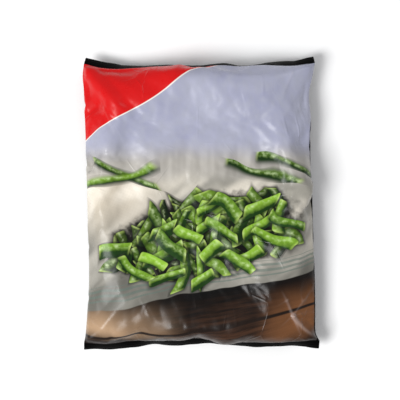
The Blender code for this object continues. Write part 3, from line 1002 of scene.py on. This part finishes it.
def printed_polyethylene():
    """Co-extruded polyethylene, reverse printed: satin, with soft broken highlights."""
    finish = bpy.data.materials.new("printed_polyethylene_film")
    finish.use_nodes = True
    tree = finish.node_tree
    tree.nodes.clear()
    node = partial(add, tree)
    spread = (2 * WEB_WIDTH / MM, WEB_LENGTH / MM, 0.0)
    middle = (-WEB_WIDTH / MM, -WEB_LENGTH / MM / 2, 0.0)
    place = node("UVMap", uv_map="flat_web")
    web = node("VectorMath.MULTIPLY_ADD", place, spread, middle)
    x, y, _ = node("SeparateXYZ", web).outputs
    wobble = node("TexNoise", web, Scale=1 / 22, Detail=2.0)

    # The print, and the solid black beyond it
    side_stop = node("MapRange.SMOOTHSTEP", y, STOP_FROM, STOP_TO, -SIDE_STOP, SIDE_STOP)
    shown_right = node("Math.SUBTRACT", node("Math.SUBTRACT", WEB_WIDTH / MM / 2, side_stop), x)
    shown_left = node("Math.ADD", x, WEB_WIDTH / MM / 2 + LEFT_WRAP)
    shown_end = node("Math.SUBTRACT", root / MM - END_STOP, node("Math.ABSOLUTE", y))
    shown = node("Math.MINIMUM", node("Math.MINIMUM", shown_right, shown_left), shown_end)
    shown = node("MapRange.SMOOTHSTEP", node("Math.MULTIPLY_ADD", wobble, 5.0, shown), 2.1, 2.5)
    ink = node("Mix.RGBA", shown, linear("050505"), picture(tree, web))
    shine = node("MapRange", shown, 0.0, 1.0, 0.022, 0.24)
    # The ink pales along creases and pleats: partly the film's own whitening, partly a painted highlight
    # on their ridges
    crease = node("Attribute", attribute_name="crease").outputs["Fac"]
    ink = node(
        "Mix.RGBA", node("MapRange.SMOOTHSTEP", crease, 0.08, 1.3, 0.0, 0.3), ink, linear("D9C8C2"),
    )

    # Fine wrinkles: a crazed net where the film was handled, and a pebbled skin everywhere
    crazed = node("TexVoronoi", web, Scale=1 / 34, feature="DISTANCE_TO_EDGE")
    handled = node("TexNoise", web, Scale=1 / 48, Detail=1.0)
    ridge = node(
        "Math.MULTIPLY", node("MapRange.SMOOTHSTEP", crazed, 0.035, 0.0),
        node("MapRange.SMOOTHSTEP", handled, 0.50, 0.66),
    )
    pebbled = node("TexNoise", web, Scale=1 / 4.5, Detail=2.5)
    height = node("Math.MULTIPLY_ADD", ridge, 0.55, node("Math.MULTIPLY", pebbled, 0.16))
    vent_x = node("Math.SUBTRACT", node("Math.FRACT", node("Math.DIVIDE", x, VENT_PITCH)), 0.5)
    vent_x = node("Math.MULTIPLY", vent_x, VENT_PITCH)
    vent = node("CombineXYZ", vent_x, node("Math.SUBTRACT", y, VENT_ROW), 0.0)
    vent = node(
        "MapRange.SMOOTHSTEP", node("VectorMath.LENGTH", vent).outputs["Value"], VENT_RADIUS, 0.4, 0.0,
        0.3,
    )
    on_back = node("Math.GREATER_THAN", node("Math.ABSOLUTE", x), WEB_WIDTH / MM - VENT_BAND)
    height = node("Math.MULTIPLY_ADD", node("Math.MULTIPLY", vent, on_back), -1.0, height)
    relief = node("Bump", 0.55, MM, Height=height)
    dull = node(
        "MapRange.SMOOTHSTEP", node("TexNoise", web, Scale=1 / 16, Detail=3.0), 0.3, 0.7, 0.24, 0.36,
    )

    film = node(
        "BsdfPrincipled", Base_Color=ink, Roughness=dull, IOR=1.5, Normal=relief,
        Specular_IOR_Level=shine,
    )
    node("OutputMaterial", film)
    return finish


film_finish = printed_polyethylene()
skin_mesh.materials.append(film_finish)
print("film finish:", len(film_finish.node_tree.nodes), "nodes")

# %% [markdown]
# ## The frozen slices
#
# The slices that press on the film are made from the same list as its bumps, each as a bar with
# slanted ends that follows the film at a small clearance. The front slices and the back ones each
# take a little under half of the pack's depth, so they never meet. They can't be seen through the
# printed film, but they are there when it is cut away.

# %% Make the slices
SLICE_RINGS, SLICE_SIDES = 7, 8
SLICE_CLEARANCE = 2.8  # mm under the film
SLICE_SHARE = 0.42  # the share of the local depth that one face's slices may fill
SLICE_DEPTH = 10.0  # mm at most, from a slice's near side to its far side
SLICE_REACH = (104, 121)  # mm from the middle, clear of the side folds and the seals


def on_grid(grid, x, y):
    """Points of a fine grid at flat places in mm, by bilinear interpolation."""
    column = np.clip((x / (WEB_WIDTH / MM) + 0.5) * FINE_COLUMNS, 0, FINE_COLUMNS - 1e-3)
    row = np.clip((y / (2 * root / MM) + 0.5) * FINE_ROWS, 0, FINE_ROWS - 1e-3)
    left, low = column.astype(int), row.astype(int)
    s, t = (column - left)[..., None], (row - low)[..., None]
    near = grid[low, left] * (1 - s) + grid[low, left + 1] * s
    far = grid[low + 1, left] * (1 - s) + grid[low + 1, left + 1] * s
    return near * (1 - t) + far * t


def slice_points(piece, grid, other, side):
    """One slice's rings of points, bent to follow the film."""
    lengths = np.linspace(-1, 1, SLICE_RINGS)
    angles = np.linspace(0, math.tau, SLICE_SIDES, endpoint=False)
    taper = 1 - 0.25 * lengths**4
    sideways = piece["half_width"] * np.cos(angles)[None] * taper[:, None]
    lengthways = piece["half_length"] * lengths[:, None] + 0.6 * sideways
    c, s = math.cos(piece["turn"]), math.sin(piece["turn"])
    x = np.clip(piece["place"][0] + lengthways * c - sideways * s, -SLICE_REACH[0], SLICE_REACH[0])
    y = np.clip(piece["place"][1] + lengthways * s + sideways * c, -SLICE_REACH[1], SLICE_REACH[1])
    skin, far_skin = on_grid(grid, x, y), on_grid(other, x, y)
    inward = on_grid(outward(grid, side), x, y) * -1
    room = np.linalg.norm(skin - far_skin, axis=-1) * SLICE_SHARE / MM
    depth = np.minimum(SLICE_DEPTH, room - SLICE_CLEARANCE) * (0.5 - 0.5 * np.sin(angles)[None])
    return skin + inward * ((SLICE_CLEARANCE + depth * taper[:, None]) * MM)[..., None]


slice_coords, slice_faces = [], []
for slices, grid, other, side in ((front_slices, front, back, 1), (back_slices, back, front, -1)):
    for piece in slices:
        base = len(slice_coords) * SLICE_RINGS * SLICE_SIDES
        slice_coords.append(slice_points(piece, grid, other, side).reshape(-1, 3))
        ring = np.arange(SLICE_SIDES)
        for row in range(SLICE_RINGS - 1):
            start = base + row * SLICE_SIDES
            following = (ring + 1) % SLICE_SIDES
            corners = [ring, following, SLICE_SIDES + following, SLICE_SIDES + ring]
            wall = start + np.stack(corners, 1)
            slice_faces += (wall if side > 0 else wall[:, ::-1]).tolist()
        last = base + (SLICE_RINGS - 1) * SLICE_SIDES
        caps = [(base + ring[::-1]).tolist(), (last + ring).tolist()]
        slice_faces += caps if side > 0 else [cap[::-1] for cap in caps]

slices_mesh = bpy.data.meshes.new("frozen_slices")
slices_mesh.from_pydata(np.concatenate(slice_coords).tolist(), [], slice_faces)
slices_mesh.shade_smooth()
slices_mesh.set_sharp_from_angle(angle=math.radians(55))
frozen_slices = placed("frozen_slices", slices_mesh)
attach(frozen_slices, "root")
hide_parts("bean_slices")


def frosted_bean():
    """Blanched, frozen bean skin: mottled green under a thin, patchy bloom of frost."""
    finish = bpy.data.materials.new("frosted_green_bean")
    finish.use_nodes = True
    tree = finish.node_tree
    tree.nodes.clear()
    node = partial(add, tree)
    place = node("TexCoord").outputs["Object"]
    mottle = node("TexNoise", place, Scale=1 / (9 * MM), Detail=3.0)
    frost = node("TexNoise", place, Scale=1 / (3 * MM), Detail=4.0)
    share = node("MapRange", mottle, 0.3, 0.7)
    skin = node("Mix.RGBA", share, linear("3F7420"), linear("86AE45"))
    bloom = node("MapRange", frost, 0.48, 0.66, 0.0, 0.6)
    skin = node("Mix.RGBA", bloom, skin, linear("DCE6D8"))
    relief = node("Bump", 0.4, 0.4 * MM, Height=frost)
    node("OutputMaterial", node("BsdfPrincipled", Base_Color=skin, Roughness=0.6, Normal=relief))
    return finish


slices_mesh.materials.append(frosted_bean())
print("frozen slices:", len(slices_mesh.polygons), "faces")
